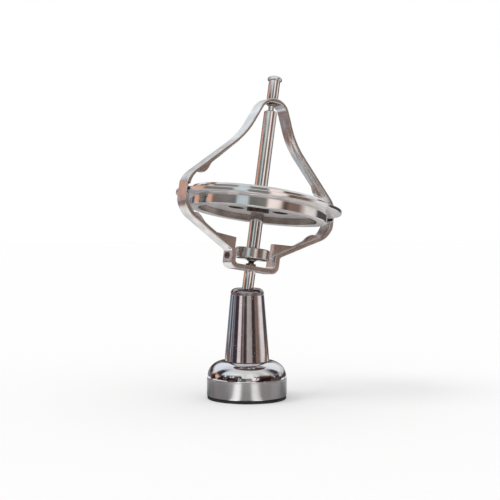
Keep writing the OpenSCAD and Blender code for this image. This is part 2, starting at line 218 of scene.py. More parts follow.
def finished(piece, body, nodes, slot, *finishes, where=None, crease=None):
    """Places a loose solid under its body, hides its nodes' parts and gives it its finishes.

    where picks a face's finish by radius, height and normal; crease is the angle from
    which an edge is shaded sharp.
    """
    place = PLACES[body]
    piece.data.transform(Matrix.Scale(MM, 4) @ place)
    piece.data.shade_smooth()
    if crease:
        piece.data.set_sharp_from_angle(angle=math.radians(crease))
    piece.modifiers.new("Flats", "WEIGHTED_NORMAL").keep_sharp = True
    made_plain(piece)
    piece.data.materials.clear()
    for finish in finishes:
        piece.data.materials.append(finish)
    if where:
        back = place.inverted()
        for face in piece.data.polygons:
            centre = back @ (face.center / MM)
            normal = back.to_3x3() @ face.normal
            face.material_index = int(where(math.hypot(centre.x, centre.y), centre.z, normal))
    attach(piece, body)
    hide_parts(*nodes)


def turned(name, corners, facets, *dress, where=None):
    """A turned piece in its place, with its body and finishes and its nodes' CAD parts hidden.
    Its slot is not used.
    """
    finished(loose(turned_mesh(name, corners, facets)), *dress, where=where)


# ---- Finishes ----

class Shading:
    """Adds nodes to a shader tree; each input is a plain value or another node's output."""

    def __init__(self, tree):
        self.nodes, self.links = tree.nodes, tree.links

    def join(self, value, socket):
        if isinstance(value, bpy.types.NodeSocket):
            self.links.new(value, socket)
        else:
            socket.default_value = value

    def node(self, kind, settings=None, **inputs):
        made = self.nodes.new(kind)
        for key, value in (settings or {}).items():
            setattr(made, key, value)
        for key, value in inputs.items():
            self.join(value, made.inputs[key.replace("_", " ")])
        return made

    def math(self, operation, *values):
        made = self.node("ShaderNodeMath", {"operation": operation})
        for socket, value in zip(made.inputs, values):
            self.join(value, socket)
        return made.outputs["Value"]

    def distance(self, x, y):
        squares = self.math("MULTIPLY", x, x), self.math("MULTIPLY", y, y)
        return self.math("SQRT", self.math("ADD", *squares))

    def parts(self, vector):
        return self.node("ShaderNodeSeparateXYZ", Vector=vector).outputs

    def own_place(self, leaned):
        """Millimetres along the piece's own axis."""
        made = self.node("ShaderNodeMapping", {"vector_type": "TEXTURE"}, Scale=(MM, MM, MM),
                         Vector=self.node("ShaderNodeTexCoord").outputs["Object"])
        if leaned:
            made.inputs["Location"].default_value = (0, 0, BALL_Z * MM)
            made.inputs["Rotation"].default_value = LEAN_TURN.to_euler()
        return made.outputs["Vector"]

    def round_the_axis(self, place, ring_scale, turn_scale):
        """Distance from the axis and height, stretched for marks that run round the axis."""
        x, y, z = self.parts(place)
        ring = self.node("ShaderNodeCombineXYZ", Z=self.math("MULTIPLY", x, turn_scale),
                         X=self.math("MULTIPLY", self.distance(x, y), ring_scale),
                         Y=self.math("MULTIPLY", z, ring_scale))
        return ring.outputs["Vector"]

    def noise(self, place, scale, detail=2.0, rough=0.5):
        made = self.node("ShaderNodeTexNoise", Vector=place, Scale=scale, Detail=detail,
                         Roughness=rough)
        return made.outputs["Fac"]

    def spread(self, value, low, high, low_at=0.3, high_at=0.7):
        """A value between low_at and high_at, spread from low to high."""
        made = self.node("ShaderNodeMapRange", Value=value, From_Min=low_at, From_Max=high_at,
                         To_Min=low, To_Max=high)
        return made.outputs["Result"]

    def blend(self, amount, none, full):
        made = self.node("ShaderNodeMix", {"data_type": "RGBA"}, Factor=amount, A=none, B=full)
        return made.outputs["Result"]

    def bearing(self, source):
        """Turn about the vertical, 0 to 1 with a half towards the camera, and the x, y and z."""
        turn = (0, 0, math.radians(90) - CAMERA_HEADING)
        x, y, z = self.parts(self.node("ShaderNodeMapping", Vector=source,
                                       Rotation=turn).outputs["Vector"])
        return self.spread(self.math("ARCTAN2", y, x), 0, 1, -math.pi, math.pi), x, y, z

    def card_ring(self, turns, cards):
        """Cards stood round the object, as (turn, colour) places."""
        ring = self.node("ShaderNodeValToRGB", Fac=turns)
        stops = ring.color_ramp.elements
        for stop, card in zip(stops, (cards[0], cards[-1])):
            stop.position, stop.color = card[0], (*card[1], 1)
        for position, colour in cards[1:-1]:
            stops.new(position).color = (*colour, 1)
        return ring.outputs["Color"]

    def seen_by(self, ray, these, others):
        """The first shader for one kind of ray, and the second for the others."""
        rays = self.node("ShaderNodeLightPath").outputs
        mixed = self.node("ShaderNodeMixShader", Fac=rays[ray])
        self.links.new(others, mixed.inputs[1])
        self.links.new(these, mixed.inputs[2])
        return mixed.outputs["Shader"]


class Finish(Shading):
    """A metal, rubber or paper finish and the nodes that make it."""

    def __init__(self, name, colour, metallic, roughness):
        self.material = bpy.data.materials.new(name)
        self.material.use_nodes = True
        super().__init__(self.material.node_tree)
        self.shader = self.nodes["Principled BSDF"]
        self.sets(Base_Color=(*colour, 1), Metallic=metallic, Roughness=roughness)

    def sets(self, **inputs):
        for key, value in inputs.items():
            self.join(value, self.shader.inputs[key.replace("_", " ")])

    def tint(self, value, dark, light):
        self.sets(Base_Color=self.blend(value, (*dark, 1), (*light, 1)))

    def relief(self, *layers):
        """Bump from (height, strength, distance in mm) layers, the first one lowest."""
        below = {}
        for height, strength, distance in layers:
            made = self.node("ShaderNodeBump", Height=height, Strength=strength,
                             Distance=distance * MM, **below)
            below = {"Normal": made.outputs["Normal"]}
        self.sets(**below)


def turned_steel(name, dark, light, rough, leaned=True, groove=0.2, strength=0.14, across=0.4,
                 metallic=1, painted_sheen=False):
    """Steel with the fine rings that a tool leaves round the axis.

    Its stains run from dark to light. With painted_sheen its colour follows the viewing angle
    instead, dark face on and pale edge on: a painted sheen.
    """
    finish = Finish(name, light, metallic, rough[1])
    place = finish.own_place(leaned)
    rings = finish.noise(finish.round_the_axis(place, 5.0, 0.05), 1.0, 3, 0.7)
    fine = finish.noise(finish.round_the_axis(place, 16.0, 0.1), 1.0, 2, 0.6)
    if painted_sheen:
        # Painted sheen: the colour follows the viewing angle, dark face on and pale edge on.
        facing = finish.node("ShaderNodeLayerWeight", Blend=0.5).outputs["Facing"]
        tone = finish.spread(facing, 0.3, 0.7, 0.45, 0.8)
    else:
        tone = finish.noise(place, 0.12, 3, 0.55)
    finish.tint(finish.spread(tone, 0, 1), dark, light)
    finish.relief((rings, strength, 0.02 * groove), (fine, strength, 0.01 * groove))
    tangent = finish.node("ShaderNodeTangent", {"direction_type": "UV_MAP", "uv_map": "turned"})
    finish.sets(Roughness=finish.spread(rings, *rough), Anisotropic=across,
                Anisotropic_Rotation=0.25, Tangent=tangent.outputs["Tangent"])
    return finish.material


def polished(name, dark, light, rough, leaned=True, pits=0.0, painted_dark_patches=None):
    """Mirror polish with faint wiping marks and, where asked, small pits.

    Its haze runs from dark to light. With painted_dark_patches, a radius and a height in
    millimetres, it is dark within the radius, a painted shade, and dark in blotches below the
    height, painted dark reflections.
    """
    finish = Finish(name, light, 1, rough[0])
    place = finish.own_place(leaned)
    haze = finish.noise(place, 0.25, 4, 0.6)
    ring_scale = 6
    around = finish.round_the_axis(place, ring_scale, 0.05)
    lightness = finish.spread(haze, 0, 1)
    # Painted shade within the radius, and painted dark reflections in blotches below the height.
    if painted_dark_patches:
        radius, height, _ = finish.parts(around)
        edge, low = ring_scale * painted_dark_patches[0], ring_scale * painted_dark_patches[1]
        painted_reflection_blotch = finish.spread(finish.noise(place, 0.28, 3, 0.6), 0, 1, 0.47, 0.52)
        outer = finish.math("MAXIMUM", painted_reflection_blotch, finish.spread(height, 0, 1, low, low + 4))
        lightness = finish.math("MINIMUM", finish.spread(radius, 0, 1, edge, edge + 3), outer)
    finish.tint(lightness, dark, light)
    finish.sets(Roughness=finish.spread(haze, *rough))
    layers = [(finish.noise(around, 1.0, 2, 0.5), 0.12, 0.002)]
    if pits:
        cells = finish.node("ShaderNodeTexVoronoi", {"feature": "F1"}, Vector=place, Scale=0.9)
        dents = finish.spread(cells.outputs["Distance"], 0, 1, 0.02, 0.16)
        layers.append((dents, pits, 0.03))
    finish.relief(*layers)
    return finish.material


def satin_steel(name, dark, light, rough):
    """Tumbled and lightly brushed steel."""
    finish = Finish(name, light, 1, rough[1])
    place = finish.own_place(True)
    tone = finish.noise(place, 0.16, 4, 0.6)
    grain = finish.noise(place, 3.0, 3, 0.6)
    wave = finish.noise(place, 0.5, 2, 0.5)
    finish.tint(finish.spread(tone, 0, 1), dark, light)
    finish.sets(Roughness=finish.spread(grain, *rough))
    finish.relief((wave, 0.12, 0.03), (grain, 0.05, 0.003))
    return finish.material


def dull(name, dark, light, metallic, rough, leaned=True):
    """Blackened metal or moulded rubber; also the painted shade in the frame's slot and web holes.
    """
    finish = Finish(name, light, metallic, rough[1])
    place = finish.own_place(leaned)
    tone = finish.noise(place, 0.5, 4, 0.6)
    grain = finish.noise(place, 6.0, 3, 0.7)
    finish.tint(finish.spread(tone, 0, 1), dark, light)
    finish.sets(Roughness=finish.spread(grain, *rough))
    finish.relief((grain, 0.4, 0.02))
    return finish.material


foot_rubber = dull("Foot rubber", (0.012, 0.012, 0.013), (0.03, 0.03, 0.031), 0, (0.6, 0.85),
                   leaned=False)
stand_satin = turned_steel("Stand satin steel", (0.50, 0.49, 0.495), (0.60, 0.59, 0.595),
                           (0.27, 0.33), leaned=False, groove=0.4, strength=0.1, across=0.85)
stand_chrome = polished("Stand chrome", (0.66, 0.64, 0.65), (0.82, 0.80, 0.81), (0.04, 0.10),
                        leaned=False, pits=0.4)
# The dome carries painted shade round the column's foot and painted dark reflections in blotches
# near its bottom.
dome_chrome = polished("Dome chrome", (0.09, 0.06, 0.065), (0.78, 0.77, 0.78), (0.02, 0.07),
                       leaned=False, pits=0.3, painted_dark_patches=(10.2, 10.6))
# A darker copy of the stand's chrome for the column's rim: a painted dark reflection of the
# gyroscope above it.
rim_chrome_painted_dark = polished("Rim chrome", (0.22, 0.18, 0.185), (0.42, 0.38, 0.39), (0.03, 0.08),
                      leaned=False)
seat_steel = polished("Seat steel", (0.14, 0.13, 0.13), (0.24, 0.23, 0.23), (0.12, 0.25),
                      leaned=False)
screw_black = dull("Screw black", (0.02, 0.02, 0.022), (0.06, 0.06, 0.065), 0.6, (0.35, 0.55),
                   leaned=False)
washer_steel = turned_steel("Washer steel", (0.40, 0.40, 0.40), (0.52, 0.52, 0.52), (0.3, 0.45),
                            leaned=False)
frame_steel = satin_steel("Frame steel", (0.62, 0.59, 0.57), (0.97, 0.95, 0.94), (0.19, 0.29))
# Painted shade: a dark finish for the faces inside the frame's slot and the web's holes.
slot_painted_shade = dull("Frame slot painted shade", (0.05, 0.04, 0.034), (0.13, 0.11, 0.10), 0.8, (0.35, 0.55))
post_chrome = polished("Post chrome", (0.70, 0.68, 0.67), (0.84, 0.83, 0.82), (0.06, 0.13))
bush_steel = turned_steel("Bush steel", (0.26, 0.23, 0.215), (0.44, 0.41, 0.385), (0.15, 0.28))
ball_steel = polished("Thrust ball steel", (0.70, 0.70, 0.70), (0.80, 0.80, 0.80), (0.04, 0.08))
stud_steel = turned_steel("Stud steel", (0.10, 0.085, 0.08), (0.20, 0.17, 0.155), (0.22, 0.36))
rotor_steel = turned_steel("Rotor steel", (0.70, 0.685, 0.67), (0.87, 0.86, 0.85), (0.08, 0.13),
                           across=0.2)
# The drum's inside: a rougher turned finish, with a darker, browner colour that is painted shade
# inside the drum.
rotor_inside_painted_shade = turned_steel("Rotor inside", (0.38, 0.33, 0.30), (0.68, 0.62, 0.58), (0.2, 0.32),
                            groove=0.4, strength=0.3)
# Undersides with a painted sheen: dark brown face on, pale edge on.
rim_under = turned_steel("Rim underside", (0.15, 0.09, 0.075), (0.78, 0.77, 0.76), (0.25, 0.35),
                         groove=0.5, strength=0.3, across=0, metallic=0.35, painted_sheen=True)
web_under = turned_steel("Web underside", (0.15, 0.09, 0.075), (0.68, 0.665, 0.65), (0.25, 0.36),
                         groove=0.5, strength=0.3, across=0, metallic=0.45, painted_sheen=True)
web_top = turned_steel("Web top steel", (0.42, 0.40, 0.385), (0.62, 0.60, 0.585), (0.26, 0.36),
                       groove=0.5, strength=0.3, across=0)
shaft_chrome = polished("Shaft chrome", (0.68, 0.66, 0.65), (0.84, 0.83, 0.82), (0.06, 0.13))
wheel_steel = turned_steel("Wheel steel", (0.62, 0.58, 0.55), (0.82, 0.79, 0.76), (0.13, 0.22),
                           groove=0.3)
collar_dark = turned_steel("Collar steel", (0.28, 0.25, 0.235), (0.44, 0.41, 0.39), (0.15, 0.28))


# ---- Stand ----

PAD_R, PAD_T = 15.8, 1.1
BASE_R, BASE_WALL, DOME_R, BASE_TOP = 16.0, 8.3, 6.7, 15.0
SPIGOT_R, SPIGOT_Z = 6.0, 10.0
COLUMN_R, RIM_EDGE, RIM_R, RIM_H, RIM_TOP = 9.0, 41.9, 6.7, 2.2, 44.1
SCREW_R, HEAD_R, HEAD_Z = 2.0, 3.4, 4.7
SEAT_R, SEAT_SHELF, SEAT_TOP = 3.5, 42.9, 44.0
CUP_R, DISH_R, DISH_Z = 2.36, 4.2, 43.4

turned("foot_rubber_pad",
       [(0, 0.35), (13.6, 0.35, 0.2), (13.9, 0, 0.15), (PAD_R, 0, 0.2), (PAD_R, PAD_T), (0, PAD_T)],
       128, "stand", ["foot_pad"], "foot_rubber", foot_rubber)

turned("turned_base",
       [(SCREW_R, 5.3), (4.0, 5.3, 0.1), (4.0, PAD_T, 0.2), (15.6, PAD_T, 0.1), (BASE_R, 1.5, 0.25),
        (BASE_R, 7.95, 0.08), (15.86, 8.1, 0.05), (15.86, 8.22, 0.05), (15.99, 8.36, 0.05)]
       + arc((BASE_R - DOME_R, BASE_WALL), DOME_R, DOME_R, range(2, 90, 4))
       + [(9.4, BASE_TOP), (SPIGOT_R, BASE_TOP), (SPIGOT_R, SPIGOT_Z), (SCREW_R, SPIGOT_Z)],
       192, "stand", ["base_body"], "stand_satin", stand_satin, dome_chrome,
       # The dome takes the chrome with its painted shade and painted dark reflections.
       where=lambda r, z, n: z > BASE_WALL and n.z > 0.02)

turned("turned_column",
       [(SCREW_R, SPIGOT_Z), (SPIGOT_R, SPIGOT_Z, 0.2), (SPIGOT_R, BASE_TOP),
        (COLUMN_R, BASE_TOP + 0.02, 0.15), (6.72, RIM_EDGE - 0.45, 0.12),
        (6.45, RIM_EDGE - 0.3, 0.08), (6.45, RIM_EDGE - 0.05, 0.08), (6.66, RIM_EDGE + 0.05, 0.05)]
       + arc((RIM_R - RIM_H, RIM_EDGE), RIM_H, RIM_H, range(4, 89, 5))
       + [(4.76, RIM_TOP, 0.1), (4.76, SEAT_SHELF), (3.56, SEAT_SHELF), (3.56, 38.2),
          (SCREW_R, 38.2)],
       160, "stand", ["column"], "stand_chrome", stand_chrome, rim_chrome_painted_dark,
       # The rim takes the darker chrome with its painted dark reflection.
       where=lambda r, z, n: z > RIM_EDGE - 0.35)

screw = loose(turned_mesh("screw", [
    (0, 4.75), (0, 2.3), (3.15, 2.3, 0.15), (HEAD_R, 2.55, 0.1), (HEAD_R, HEAD_Z),
    (SCREW_R, HEAD_Z), (SCREW_R, 18.3, 0.2), (1.6, 18.7), (0, 18.7)], 96))
socket = loose(turned_mesh("socket", [(0, 1.5), (1.73, 1.5), (1.73, 3.74), (0, 3.9)], 6))
boolean(screw, [socket], "DIFFERENCE")
screw.name = "column_socket_screw"
finished(screw, "stand", ["column_screw"], "screw_black", screw_black, crease=38)

turned("column_washer", [(SCREW_R, HEAD_Z), (3.8, HEAD_Z, 0.12), (3.8, 5.3, 0.12), (SCREW_R, 5.3)],
       96, "stand", ["screw_washer"], "washer_steel", washer_steel)

mouth_low = CUP_R / math.cos(LEAN)
mouth_top = mouth_low + (DISH_Z - BALL_Z) * math.tan(LEAN)
turned("seat_insert_turned",
       [(0, 38.5), (3.3, 38.5, 0.2), (SEAT_R, 38.8), (SEAT_R, SEAT_SHELF), (4.7, SEAT_SHELF),
        (4.7, SEAT_TOP, 0.15), (DISH_R, SEAT_TOP, 0.1), (mouth_top, DISH_Z, 0.12),
        (mouth_low, BALL_Z)]
       + arc((0, BALL_Z), CUP_R, CUP_R, range(-12, -91, -6)),
       128, "seat", ["seat_insert"], "seat_steel", seat_steel)


# ---- Frame of the gyroscope ----

STRIP_W, RIB_W = 7.2, 2.8
OUTER = [(4.64, 79, 7), (11.9, 62.7, 33), (34.9, 40.6, 10.2), (34.9, 28.1, 13), (11.2, 15.4, 1.6),
         (11.2, 8.4, 3)]
STRIP_T = [1.8, 1.2, 1.2, 2.0, 1.5, 2.25, 2.1]
INNER_R = [5, 34, 8.6, 11.4, 0.8, 1.4]
GUSSET_REACH, GUSSET_TOP = 19.4, 20.8
FLAT_A, FLAT_LOW, FLAT_TOP, CUTTER_T, CUTTER_W = 34.6, 26.1, 46.1, 10, 9
GROOVE_R, GROOVE_LOW, GROOVE_TOP = 34.05, 34.425, 37.775
UPPER_RIB = [(0, -0.4), (4.2, 2.3), (5.0, 2.25), (9.5, 0.95), (24, 0.6), (34, 0.2), (46, -0.5)]
LOWER_RIB = [(0, -0.4), (4.0, 1.9), (4.8, 1.85), (9, 0.85), (14, 0.5)]
RIB_STEP, RIB_SINK, RIB_ROUND = 0.25, 1.0, 0.4
POST_R, BUSH_R, BUSH_BORE, PIVOT_R, BALL_R, SHAFT_R = 2.3, 1.6, 1.26, 1.2, 1.15, 2.65
BAR_LOW, LOW_SOCKET, TOP_SOCKET, POST_FOOT, POST_TOP = 8.4, 5.8, 81.2, 78.6, 86.8


def right_of(p, q):
    """Unit vector to the right of the way from p to q."""
    way = (q - p).normalized()
    return Vector((way.y, -way.x))


def meet(p, d, q, e):
    """Where the line through p along d meets the line through q along e."""
    return p + d * ((q.x - p.x) * e.y - (q.y - p.y) * e.x) / (d.x * e.y - d.y * e.x)


def both_sides(half):
    """Half of an outline, and then its mirror image."""
    return list(half) + [(-corner[0], *corner[1:]) for corner in reversed(half)]


def inner_corners():
    """Corners of the strip's inner face, a thickness inside those of its outer face."""
    across = [Vector(corner[:2]) for corner in both_sides(OUTER)]
    line = across[-1:] + across[:7]
    corners = []
    for i in range(1, 7):
        before = right_of(line[i - 1], line[i]) * STRIP_T[i - 1]
        after = right_of(line[i], line[i + 1]) * STRIP_T[i]
        corners.append(meet(line[i] + before, line[i] - line[i - 1],
                            line[i] + after, line[i + 1] - line[i]))
    return corners


INNER = inner_corners()
INNER_LINE = [(corner.x, corner.y, radius) for corner, radius in zip(INNER, INNER_R)]


def strip():
    """The bent strip: an outer and an inner outline with the same number of points."""
    outlines = [rounded(both_sides(half), 14) for half in (OUTER, INNER_LINE)]
    built = bmesh.new()
    rows = [[built.verts.new((p.x, y, p.y)) for p in outline]
            for outline in outlines for y in (-STRIP_W / 2, STRIP_W / 2)]
    count = len(rows[0])
    for i in range(count):
        j = (i + 1) % count
        for a, b in ((0, 1), (1, 3), (3, 2), (2, 0)):
            built.faces.new((rows[a][i], rows[a][j], rows[b][j], rows[b][i]))
    return loose(mesh_of(built, "gyroscope_frame"))


def way_along(corners):
    """Evenly spaced points on the strip's inner face, each with its inward side."""
    line = rounded(corners, 20, closed=False)
    places, spare = [], 0
    for p, q in zip(line, line[1:]):
        length = (q - p).length
        at = spare
        while at < length:
            places.append((p + (q - p) * at / length, right_of(q, p)))
            at += RIB_STEP
        spare = at - length
    return places


def height_at(profile, at):
    """Height of a rib at a distance from its foot, eased between the profile's places."""
    for (a, low), (b, high) in zip(profile, profile[1:]):
        if at <= b:
            part = max(0, (at - a) / (b - a))
            return low + (high - low) * part * part * (3 - 2 * part)
    return profile[-1][1]


def rib(name, corners, start, side, profile):
    """A round-edged rib on the strip's inner face, with (distance, height) places along it."""
    end = start + profile[-1][0]
    places = [place for i, place in enumerate(way_along(corners)) if start <= i * RIB_STEP <= end]
    built = bmesh.new()
    rows = []
    for i, (place, inward) in enumerate(places):
        height = height_at(profile, i * RIB_STEP)
        edge = min(RIB_ROUND, height + 0.95)
        section = [(-RIB_SINK, -RIB_W / 2)]
        section += [(height - edge + edge * math.sin(turn),
                     -RIB_W / 2 + edge - edge * math.cos(turn))
                    for turn in map(math.radians, range(0, 91, 18))]
        section += [(up, -across) for up, across in reversed(section)]
        rows.append([built.verts.new((place.x + inward.x * side * up, across,
                                      place.y + inward.y * side * up)) for up, across in section])
    for row, after in zip(rows, rows[1:]):
        for k in range(len(row)):
            m = (k + 1) % len(row)
            built.faces.new((row[k], row[m], after[m], after[k]))
    built.faces.new(rows[0])
    built.faces.new(rows[-1][::-1])
    return loose(mesh_of(built, name))


def gusset():
    """The plate in the corner between a lower limb and an upright of the cradle."""
    corner = INNER[4]
    limb = INNER[3] - corner
    on_limb = corner + limb * (GUSSET_REACH - corner.x) / limb.x
    piece = loose(plate_mesh("gusset", [
        (corner.x - 0.3, GUSSET_TOP), (on_limb.x + 0.8, on_limb.y + 0.1),
        (corner.x + 0.6, corner.y - 1.0), (corner.x - 0.3, corner.y - 1)], RIB_W))
    bevelled(piece, 0.3, 40)
    return piece


def mirrored(piece):
    """A copy of a piece on the other side of the axis."""
    copy = loose(piece.data.copy())
    copy.data.transform(Matrix.Scale(-1, 4, (1, 0, 0)))
    copy.data.flip_normals()
    return copy


def bore(name, radius, low, high, facets):
    """A cylinder about the axis, to cut with."""
    return loose(turned_mesh(name, [(0, low), (radius, low), (radius, high), (0, high)], facets))


gyro_frame = strip()
upper_line = [INNER_LINE[3][:2]] + INNER_LINE[2::-1] + [(-INNER[0].x, INNER[0].y)]
lower_line = [INNER_LINE[2][:2]] + INNER_LINE[3:5] + [INNER_LINE[5][:2]]
ribs = [rib("upper_rib", upper_line, 14.4, 1, UPPER_RIB),
        rib("lower_rib", lower_line, 13.0, -1, LOWER_RIB), gusset()]
flats = [loose(plate_mesh("flat", [(a, FLAT_LOW), (b, FLAT_LOW), (b, FLAT_TOP), (a, FLAT_TOP)],
                          CUTTER_W))
         for a, b in ((-FLAT_A, -FLAT_A - CUTTER_T), (FLAT_A, FLAT_A + CUTTER_T))]
bores = [bore("groove", GROOVE_R, GROOVE_LOW, GROOVE_TOP, 240),
         bore("post_bore", POST_R, POST_FOOT, 80, 64), bore("bush_bore", BUSH_R, 2, 80.5, 64)]
boolean(gyro_frame, flats + bores, "DIFFERENCE")
bevelled(gyro_frame, 0.36, 30, 4)
boolean(gyro_frame, [mirrored(piece) for piece in ribs] + ribs, "UNION")
# Painted shade: the faces inside the slot for the rotor's flange take the dark slot finish.
finished(gyro_frame, "gyro", ["gyro_frame"], "frame_steel", frame_steel, slot_painted_shade, crease=38,
         where=lambda r, z, n: 34.4 < z < 37.8 and 31 < r < 34.2 and n.x < 0.5)


# ---- Posts, bushes and studs ----

turned("bottom_post_ball_end",
       arc((0, 0), POST_R, POST_R, range(-90, -5, 6))
       + [(POST_R, 0), (POST_R, BAR_LOW), (BUSH_R, BAR_LOW), (BUSH_R, LOW_SOCKET), (0, LOW_SOCKET)],
       96, "gyro", ["bottom_post"], "post_chrome", post_chrome)

turned("top_post_turned",
       [(BUSH_R, POST_FOOT), (POST_R, POST_FOOT), (POST_R, 86.6, 0.1), (2.1, POST_TOP, 0.1),
        (1.2, POST_TOP), (1.2, 84.4), (0, 84.4), (0, TOP_SOCKET), (BUSH_R, TOP_SOCKET)],
       96, "gyro", ["top_post"], "post_chrome", post_chrome)

turned("top_cap_domed",
       [(0, 84.6), (1.2, 84.6), (1.2, POST_TOP), (2.8, POST_TOP, 0.1), (2.95, 86.95, 0.08),
        (2.95, 87.5)]
       + arc((0, 87.5), 2.95, 1.4, range(6, 90, 6)) + [(0, 88.9)],
       96, "gyro", ["top_cap"], "post_chrome", post_chrome)

turned("upper_bush_turned",
       [(BUSH_BORE, 76.3), (1.7, 76.3, 0.1), (1.75, 76.4, 0.05), (1.75, 77.2), (BUSH_R, 77.2),
        (BUSH_R, TOP_SOCKET), (BUSH_BORE, TOP_SOCKET)],
       72, "gyro", ["upper_bush"], "bush_steel", bush_steel)
turned("lower_bush_turned",
       [(BUSH_BORE, LOW_SOCKET), (BUSH_R, LOW_SOCKET), (BUSH_R, 10.5), (2.05, 10.5),
        (2.05, 11.3, 0.1), (1.95, 11.4, 0.05), (BUSH_BORE, 11.4, 0.05)],
       72, "gyro", ["lower_bush"], "bush_steel", bush_steel)

for node, height in (("upper_thrust_ball", TOP_SOCKET - BALL_R),
                     ("lower_thrust_ball", LOW_SOCKET + BALL_R)):
    turned(node + "_ground", arc((0, height), BALL_R, BALL_R, range(-90, 91, 10)),
           48, "gyro", [node], "ball_steel", ball_steel)

stud_pair = bmesh.new()
for turn in (0, math.pi):
    stud = turned_mesh("stud", [(0.55, -2.24), (0.9, -2.24), (0.9, 0), (1.3, 0), (1.3, 0.55, 0.25),
                                (1.05, 0.7, 0.2), (0.65, 0.7, 0.1), (0.55, 0.6)], 64)
    stud.transform(Matrix.Rotation(turn, 4, "Z") @ Matrix.Translation((OUTER[4][0], 0, 13.2))
                   @ Matrix.Rotation(math.pi / 2, 4, "Y"))
    stud_pair.from_mesh(stud)
finished(loose(mesh_of(stud_pair, "side_studs_turned")),
         "gyro", ["side_studs"], "stud_steel", stud_steel)


# ---- Rotor ----

DRUM_R, DRUM_IN, DRUM_LOW, DRUM_TOP = 28.2, 23.9, 31.15, 39.3
FLANGE_R, FLANGE_LOW, FLANGE_TOP = 33.6, 35.375, 36.825
WEB_LOW, WEB_TOP, HUB_R = 33.9, 36.3, 4.5
WHEEL_R, WHEEL_LOW, WHEEL_TOP = 6.9, 13.3, 17.5

# The drum's inside takes the darker finish with its painted shade.
turned("rotor_rim_turned",
       [(DRUM_IN, DRUM_LOW, 0.3), (DRUM_R, DRUM_LOW, 0.3), (DRUM_R, FLANGE_LOW, 0.12),
        (FLANGE_R, FLANGE_LOW, 0.25), (FLANGE_R, FLANGE_TOP, 0.25), (DRUM_R, FLANGE_TOP, 0.12),
        (DRUM_R, 38.5, 0.1), (27.4, DRUM_TOP, 0.15), (DRUM_IN, DRUM_TOP, 0.25)],
       240, "rotor", ["rotor_rim"], "rotor_steel", rotor_steel, rotor_inside_painted_shade, rim_under,
       # The rim's underside takes the finish with the painted sheen.
       where=lambda r, z, n: 1 if r < DRUM_IN + 0.1 else 2 if n.z < -0.9 else 0)


def hole_cutters():
    """Tree that stands cutters on a circle round the axis."""
    tree = bpy.data.node_groups.new("Web hole cutters", "GeometryNodeTree")
    tree.interface.new_socket("Geometry", in_out="OUTPUT", socket_type="NodeSocketGeometry")
    for label, kind in (("Count", "Int"), ("Circle radius", "Float"), ("Hole radius", "Float"),
                        ("Depth", "Float"), ("Height", "Float"), ("Finish", "Material")):
        tree.interface.new_socket(label, in_out="INPUT", socket_type="NodeSocket" + kind)
    add, link = tree.nodes.new, tree.links.new
    sizes = add("NodeGroupInput").outputs
    circle = add("GeometryNodeMeshCircle")
    link(sizes["Count"], circle.inputs["Vertices"])
    link(sizes["Circle radius"], circle.inputs["Radius"])
    turn = add("GeometryNodeTransform")
    lift = add("ShaderNodeCombineXYZ")
    link(sizes["Height"], lift.inputs["Z"])
    link(lift.outputs["Vector"], turn.inputs["Translation"])
    link(circle.outputs["Mesh"], turn.inputs["Geometry"])
    cutter = add("GeometryNodeMeshCylinder")
    cutter.inputs["Vertices"].default_value = 72
    link(sizes["Hole radius"], cutter.inputs["Radius"])
    link(sizes["Depth"], cutter.inputs["Depth"])
    stand = add("GeometryNodeInstanceOnPoints")
    link(turn.outputs["Geometry"], stand.inputs["Points"])
    link(cutter.outputs["Mesh"], stand.inputs["Instance"])
    real = add("GeometryNodeRealizeInstances")
    link(stand.outputs["Instances"], real.inputs["Geometry"])
    finish = add("GeometryNodeSetMaterial")
    link(real.outputs["Geometry"], finish.inputs["Geometry"])
    link(sizes["Finish"], finish.inputs["Material"])
    link(finish.outputs["Geometry"], add("NodeGroupOutput").inputs["Geometry"])
    return tree


def made_by(name, tree, **sizes):
    """A loose solid from a tree and its sizes."""
    piece = loose(bpy.data.meshes.new(name))
    step = piece.modifiers.new(name, "NODES")
    step.node_group = tree
    for socket in tree.interface.items_tree:
        key = socket.name.replace(" ", "_")
        if key in sizes:
            step[socket.identifier] = sizes[key]
    made_plain(piece)
    return piece


rotor_web = loose(turned_mesh("rotor_web_drilled", [
    (HUB_R, WEB_LOW), (DRUM_IN, WEB_LOW), (DRUM_IN, WEB_TOP), (HUB_R, WEB_TOP)], 200))
holes = made_by("web_holes", hole_cutters(), Count=6, Circle_radius=10.4, Hole_radius=3.3,
                Depth=5.0, Height=35.1, Finish=slot_painted_shade)
boolean(rotor_web, [holes], "DIFFERENCE")
bevelled(rotor_web, 0.3, flats_joined=True)
# Painted shade: the walls of the holes take the dark slot finish.
finished(rotor_web, "rotor", ["rotor_web"], "rotor_steel", web_under, web_top, slot_painted_shade,
         # The web's underside takes the finish with the painted sheen.
         crease=38, where=lambda r, z, n: 2 if abs(n.z) < 0.3 else n.z > 0)

turned("rotor_hub_turned",
       [(SHAFT_R, 32.0), (4.2, 32.0, 0.15), (HUB_R, 32.3, 0.1), (HUB_R, 37.9, 0.1),
        (4.2, 38.2, 0.15), (SHAFT_R, 38.2)],
       120, "rotor", ["rotor_hub"], "rotor_steel", rotor_steel, stud_steel, rim_under,
       # The hub's underside takes the finish with the painted sheen.
       where=lambda r, z, n: 1 if abs(n.z) < 0.3 else 2 if n.z < 0 else 0)

turned("shaft_ground",
       [(0, 8.13), (1.0, 8.13, 0.1), (PIVOT_R, 8.33, 0.1), (PIVOT_R, WHEEL_LOW),
        (SHAFT_R, WHEEL_LOW), (SHAFT_R, 73.7, 0.15), (2.35, 74.0, 0.15), (PIVOT_R, 74.0, 0.1),
        (PIVOT_R, 78.7, 0.1), (1.0, 78.87, 0.1), (0, 78.87)],
       128, "rotor", ["shaft"], "shaft_chrome", shaft_chrome)

